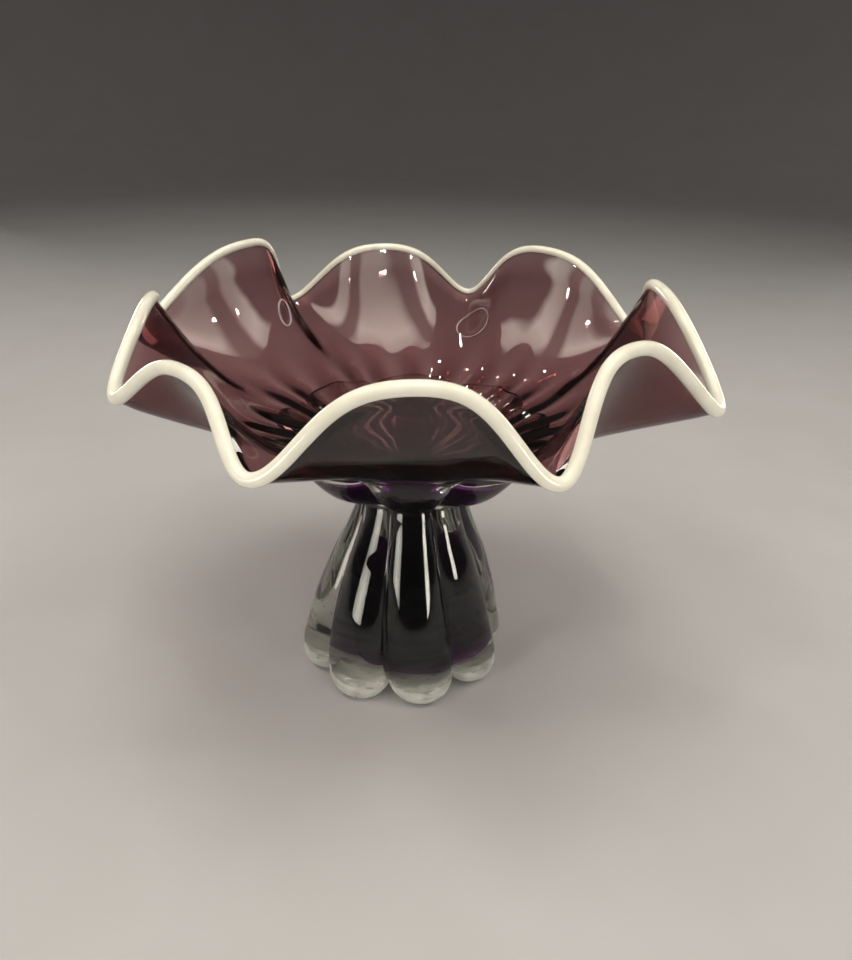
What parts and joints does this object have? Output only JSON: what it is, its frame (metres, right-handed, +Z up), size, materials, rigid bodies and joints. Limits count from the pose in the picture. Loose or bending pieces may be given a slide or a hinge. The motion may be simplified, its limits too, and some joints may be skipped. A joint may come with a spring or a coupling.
{
  "type": "ruffled footed glass bowl",
  "caption": "Ruffled amethyst glass bowl with an opal white lip, standing on a clear ribbed foot with rounded toes over a dark core.",
  "frame": {"origin": "on the floor, under the middle of the bowl, at the centre of the ring of toes", "axes": "+Z up, +X to the right and +Y away from the viewer of the picture"},
  "size_m": [0.2333, 0.2163, 0.173],
  "materials": {
    "amethyst_glass": "polished translucent amethyst",
    "opal_glass": "glossy opaque white",
    "clear_glass": "polished clear",
    "dark_amethyst_glass": "polished, almost black"
  },
  "bodies": {
    "root": {"bowl": "amethyst_glass", "lip_wrap": "opal_glass", "collar": "clear_glass", "foot_casing": "clear_glass", "foot_core": "dark_amethyst_glass"}
  },
  "joints": []
}
